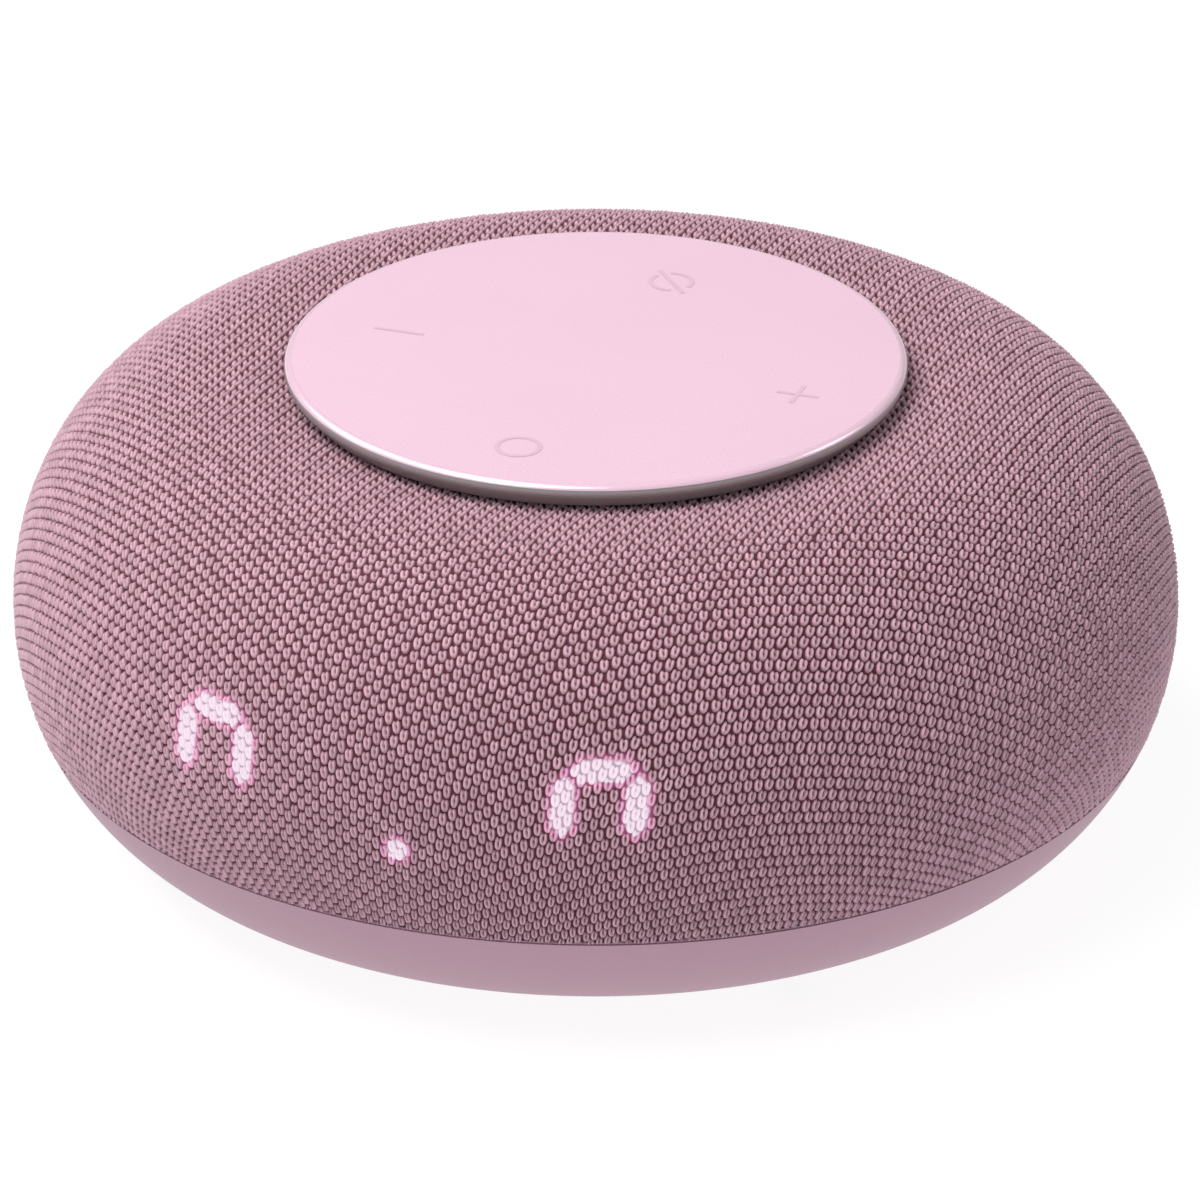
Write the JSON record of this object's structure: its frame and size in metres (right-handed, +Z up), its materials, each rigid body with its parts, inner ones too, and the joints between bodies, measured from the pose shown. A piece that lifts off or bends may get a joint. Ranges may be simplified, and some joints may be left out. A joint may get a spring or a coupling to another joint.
{
  "type": "smart display",
  "caption": "Fabric-covered donut-shaped smart speaker with a segment clock behind the fabric and a round touch and charging pad on top.",
  "frame": {"origin": "bottom centre of the foot ring, on the surface the device stands on", "axes": "+Z up through the pad, -Y out of the clock display, +Y out of the power inlet at the back"},
  "size_m": [0.17, 0.17, 0.0718],
  "materials": {
    "fabric_pink": "knitted textile, dusty pink, matt",
    "base_pink": "fine satin, dusty pink",
    "pad_pink": "satin, pale pink, with faint printed icons",
    "ring_grey": "satin grey",
    "black_plastic": "fine texture, black",
    "white_plastic": "smooth, white",
    "rubber_grey": "matt, dark grey",
    "rubber_black": "matt, black",
    "screw_steel": "turned, plated",
    "plate_steel": "plated sheet",
    "shield_tin": "tinned sheet",
    "board_green": "solder mask over glass epoxy",
    "coil_copper": "enamelled copper wire, wound",
    "ferrite_dark": "sintered, matt dark grey",
    "spreader_aluminium": "rolled sheet",
    "radiator_aluminium": "brushed plate",
    "cone_paper": "pressed pulp, dark grey",
    "spider_cloth": "resin-stiffened cloth",
    "pad_thermal": "soft filled silicone, pale",
    "ribbon_polyimide": "amber film with copper tracks",
    "inlet_steel": "drawn shell, plated"
  },
  "bodies": {
    "housing": {"fabric_sleeve": "fabric_pink", "grille_shell": "black_plastic", "base_shell": "base_pink", "rubber_foot_ring": "rubber_grey", "pad_cover": "pad_pink", "pad_edge_ring": "ring_grey", "pad_tray": "black_plastic", "touch_board": "board_green", "charging_coil": "coil_copper", "ferrite_sheet": "ferrite_dark", "charger_board": "board_green", "charger_shield": "shield_tin", "display_diffuser": "white_plastic", "segment_reflector": "white_plastic", "display_board": "board_green", "display_ribbon": "ribbon_polyimide", "speaker_enclosure": "black_plastic", "driver_gasket": "rubber_black", "driver_basket": "plate_steel", "driver_top_plate": "plate_steel", "driver_magnet": "ferrite_dark", "driver_yoke": "plate_steel", "driver_surround": "rubber_black", "driver_spider": "spider_cloth", "sound_deflector": "black_plastic", "main_board": "board_green", "processor_shield": "shield_tin", "heat_spreader": "spreader_aluminium", "thermal_pad": "pad_thermal", "power_inlet": "inlet_steel", "reset_switch": "black_plastic", "microphone_board_left": "board_green", "microphone_board_right": "board_green", "antenna_left": "board_green", "antenna_right": "board_green", "touch_ribbon": "ribbon_polyimide", "left_radiator_frame": "black_plastic", "left_radiator_surround": "rubber_black", "right_radiator_frame": "black_plastic", "right_radiator_surround": "rubber_black", "base_screw_1": "screw_steel", "base_screw_2": "screw_steel", "base_screw_3": "screw_steel", "base_screw_4": "screw_steel", "pad_screw_1": "screw_steel", "pad_screw_2": "screw_steel", "pad_screw_3": "screw_steel", "driver_screw_1": "screw_steel", "driver_screw_2": "screw_steel", "driver_screw_3": "screw_steel", "driver_screw_4": "screw_steel", "board_screw_1": "screw_steel", "board_screw_2": "screw_steel", "board_screw_3": "screw_steel"},
    "driver_cone_assembly": {"driver_cone": "cone_paper", "driver_dust_cap": "cone_paper", "voice_coil": "coil_copper"},
    "left_radiator": {"left_radiator_plate": "radiator_aluminium"},
    "right_radiator": {"right_radiator_plate": "radiator_aluminium"},
    "reset_button_body": {"reset_button": "base_pink"}
  },
  "joints": [
    {"name": "driver_stroke", "type": "slide", "parent": "housing", "child": "driver_cone_assembly", "axis": [0, 0, 1], "range_m": [-0.002, 0.002], "stiffness_N_per_m": 600, "deforming": ["driver_surround", "driver_spider"]},
    {"name": "left_radiator_stroke", "type": "slide", "parent": "housing", "child": "left_radiator", "axis": [-1, 0, 0], "range_m": [-0.0025, 0.0025], "stiffness_N_per_m": 400, "deforming": ["left_radiator_surround"]},
    {"name": "right_radiator_stroke", "type": "slide", "parent": "housing", "child": "right_radiator", "axis": [1, 0, 0], "range_m": [-0.0025, 0.0025], "stiffness_N_per_m": 400, "deforming": ["right_radiator_surround"]},
    {"name": "reset_press", "type": "slide", "parent": "housing", "child": "reset_button_body", "axis": [0, -1, 0], "range_m": [0, 0.0006], "stiffness_N_per_m": 800}
  ]
}
